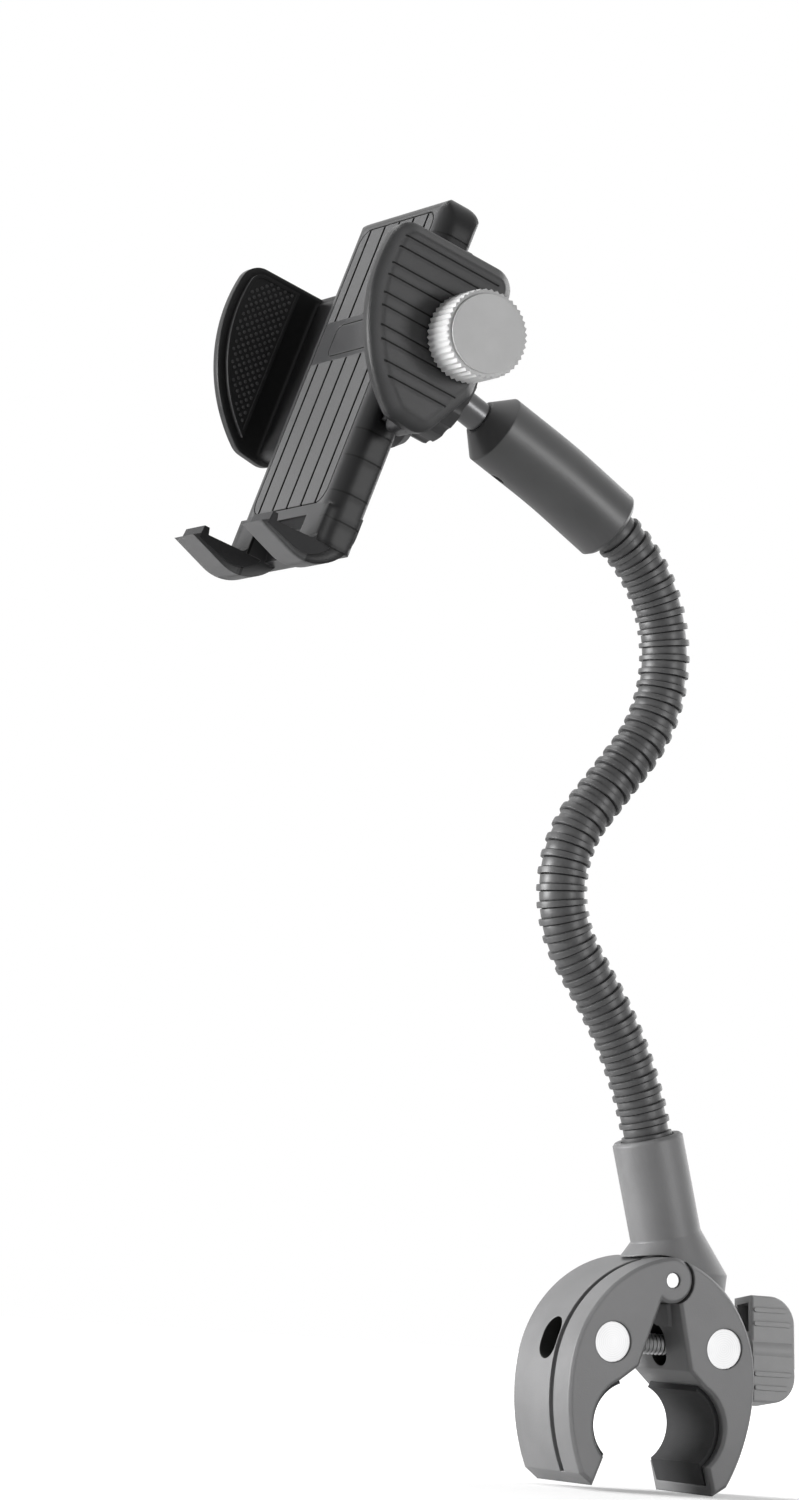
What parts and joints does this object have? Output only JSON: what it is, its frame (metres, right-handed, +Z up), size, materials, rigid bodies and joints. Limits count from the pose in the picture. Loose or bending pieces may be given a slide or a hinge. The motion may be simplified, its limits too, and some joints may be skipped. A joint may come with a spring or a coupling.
{
  "type": "phone gooseneck holder",
  "caption": "Phone holder with sliding geared side arms and hooked feet on a ball joint, carried by a ribbed flexible neck that rises from a hinged screw clamp for a pipe or handlebar.",
  "frame": {"origin": "axis of the pipe seat in the fixed jaw's rubber pad, at the middle of the jaw's depth", "axes": "+Y along the clamped pipe, away from the side with the locking knob; +X along the clamp screw towards its wing knob; +Z up the post"},
  "size_m": [0.1606, 0.0947, 0.2853],
  "materials": {
    "clamp_metal": "satin grey cast metal",
    "clamp_rubber": "matte black rubber",
    "bright_metal": "plain bright steel",
    "wing_plastic": "dark grey plastic",
    "neck_metal": "dark grey coated flexible metal hose",
    "sleeve_metal": "dark grey satin metal",
    "cradle_plastic": "grey fine-grained plastic",
    "arm_plastic": "dark grey plastic",
    "grip_rubber": "matte black rubber",
    "knob_plastic": "light grey plastic",
    "socket_plastic": "black plastic"
  },
  "bodies": {
    "clamp_base": {"fixed_jaw": "clamp_metal", "fixed_jaw_pad": "clamp_rubber", "hinge_pin": "bright_metal"},
    "moving_jaw_body": {"moving_jaw": "clamp_metal", "moving_jaw_pad": "clamp_rubber"},
    "bush_body": {"barrel_bush": "bright_metal"},
    "nut_body": {"barrel_nut": "bright_metal"},
    "wing_body": {"clamp_screw": "bright_metal", "wing_knob": "wing_plastic"},
    "neck_body": {"gooseneck": "neck_metal"},
    "neck_head": {"neck_sleeve": "sleeve_metal", "sleeve_grub_screw": "bright_metal", "ball_stud": "bright_metal"},
    "socket_pad_body": {"ball_pad": "socket_plastic"},
    "socket_ring_body": {"seat_ring": "socket_plastic"},
    "cradle_body": {"front_plate": "cradle_plastic", "left_foot_pad": "grip_rubber", "right_foot_pad": "grip_rubber", "back_cover": "socket_plastic", "housing_screws": "bright_metal"},
    "collar_body": {"socket_collar": "socket_plastic"},
    "right_arm_body": {"right_arm": "arm_plastic", "right_arm_pad": "grip_rubber"},
    "left_arm_body": {"left_arm": "arm_plastic", "left_arm_pad": "grip_rubber"},
    "pinion_body": {"pinion": "socket_plastic"},
    "lock_body": {"lock_knob": "knob_plastic", "lock_shaft": "bright_metal"}
  },
  "joints": [
    {"name": "wing_turn", "type": "hinge", "parent": "bush_body", "child": "wing_body", "pos_m": [0.0094, 0, 0.0187], "axis": [1, 0, 0], "range_deg": [-1847.26, 461.81]},
    {"name": "jaw_hinge", "type": "hinge", "parent": "clamp_base", "child": "moving_jaw_body", "pos_m": [-0.0052, 0, 0.0334], "axis": [0, 1, 0], "range_deg": [-20, 5]},
    {"name": "bush_tilt", "type": "hinge", "parent": "clamp_base", "child": "bush_body", "pos_m": [0.0094, 0, 0.0187], "axis": [0, 1, 0], "range_deg": [-10, 2.5]},
    {"name": "nut_tilt", "type": "hinge", "parent": "moving_jaw_body", "child": "nut_body", "pos_m": [-0.0198, 0, 0.0187], "axis": [0, 1, 0], "range_deg": [-2.5, 10]},
    {"name": "neck_bend_fore", "type": "hinge", "parent": "clamp_base", "child": "neck_body", "pos_m": [-0.02311, 0, 0.09843], "axis": [0, 1, 0], "range_deg": [-30, 30], "deforming": ["gooseneck"]},
    {"name": "neck_bend_side", "type": "hinge", "parent": "neck_body", "child": "neck_head", "pos_m": [-0.01079, 0, 0.17042], "axis": [0.9941, 0, -0.1082], "range_deg": [-30, 30], "deforming": ["gooseneck"]},
    {"name": "cradle_tilt", "type": "hinge", "parent": "neck_head", "child": "socket_pad_body", "pos_m": [-0.07841, 0, 0.23408], "axis": [0, 1, 0], "range_deg": [-15, 28]},
    {"name": "cradle_pan", "type": "hinge", "parent": "socket_pad_body", "child": "socket_ring_body", "pos_m": [-0.07841, 0, 0.23408], "axis": [0.3206, 0, 0.9472], "range_deg": [-15, 15]},
    {"name": "cradle_spin", "type": "hinge", "parent": "socket_ring_body", "child": "cradle_body", "pos_m": [-0.07841, 0, 0.23408], "axis": [-0.9472, 0, 0.3206], "continuous": true},
    {"name": "collar_turn", "type": "hinge", "parent": "cradle_body", "child": "collar_body", "pos_m": [-0.07841, 0, 0.23408], "axis": [-0.9472, 0, 0.3206], "continuous": true},
    {"name": "right_arm_slide", "type": "slide", "parent": "cradle_body", "child": "right_arm_body", "axis": [0, -1, 0], "range_m": [-0.004, 0.014]},
    {"name": "left_arm_slide", "type": "slide", "parent": "cradle_body", "child": "left_arm_body", "axis": [0, 1, 0], "range_m": [-0.004, 0.014]},
    {"name": "pinion_turn", "type": "hinge", "parent": "cradle_body", "child": "pinion_body", "pos_m": [-0.09612, 0, 0.24008], "axis": [-0.9472, 0, 0.3206], "range_deg": [-133.7, 38.21]},
    {"name": "lock_turn", "type": "hinge", "parent": "right_arm_body", "child": "lock_body", "pos_m": [-0.08957, -0.042, 0.23511], "axis": [0, -1, 0], "range_deg": [0, 90]}
  ],
  "couplings": [
    {"joint": "jaw_hinge", "follows": "wing_turn", "ratio": 0.010827},
    {"joint": "bush_tilt", "follows": "wing_turn", "ratio": 0.0054134},
    {"joint": "nut_tilt", "follows": "wing_turn", "ratio": -0.0054134},
    {"joint": "left_arm_slide", "follows": "right_arm_slide", "ratio": 1},
    {"joint": "pinion_turn", "follows": "right_arm_slide", "rad_per_m": -166.67}
  ]
}
